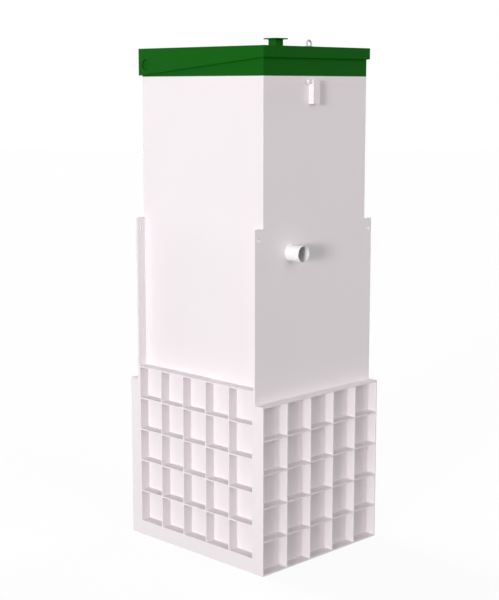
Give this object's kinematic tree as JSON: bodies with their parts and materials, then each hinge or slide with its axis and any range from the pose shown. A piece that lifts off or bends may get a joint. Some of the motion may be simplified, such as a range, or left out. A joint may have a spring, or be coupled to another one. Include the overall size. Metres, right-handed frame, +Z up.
{
  "type": "septic tank",
  "caption": "Tall box-shaped septic tank of welded plastic sheet with rib lattices round its foot, an inlet stub, and a hinged green lid with a square vent.",
  "frame": {"origin": "middle of the underside of the tank's floor, at ground level", "axes": "+Z up, the front with the inlet stub faces -Y, +X to the right seen from the front"},
  "size_m": [1.15, 1.35, 3.4983],
  "materials": {
    "pp_sheet": "satin",
    "pipe": "satin",
    "green_sheet": "satin",
    "zinc": "zinc plated"
  },
  "bodies": {
    "tank": {"floor_plate": "pp_sheet", "left_wall": "pp_sheet", "right_wall": "pp_sheet", "front_wall": "pp_sheet", "rear_wall": "pp_sheet", "front_fins": "pp_sheet", "front_shelves": "pp_sheet", "rear_fins": "pp_sheet", "rear_shelves": "pp_sheet", "left_fins": "pp_sheet", "left_shelves": "pp_sheet", "right_fins": "pp_sheet", "right_shelves": "pp_sheet", "left_sill": "pp_sheet", "right_sill": "pp_sheet", "cable_box": "pp_sheet", "inlet_pipe": "pipe", "cable_sleeve": "pipe", "collar_front": "green_sheet", "collar_left": "green_sheet", "collar_right": "green_sheet", "collar_rear": "green_sheet", "left_pivot": "green_sheet", "right_pivot": "green_sheet"},
    "lid": {"lid_top": "green_sheet", "lid_front_skirt": "green_sheet", "lid_rear_skirt": "green_sheet", "lid_left_skirt": "green_sheet", "lid_right_skirt": "green_sheet", "vent_duct": "green_sheet", "vent_cap": "green_sheet", "lid_ring": "zinc"}
  },
  "joints": [
    {"name": "lid_hinge", "type": "hinge", "parent": "tank", "child": "lid", "pos_m": [0, 0.525, 3.325], "axis": [-1, 0, 0], "range_deg": [0, 92]}
  ]
}
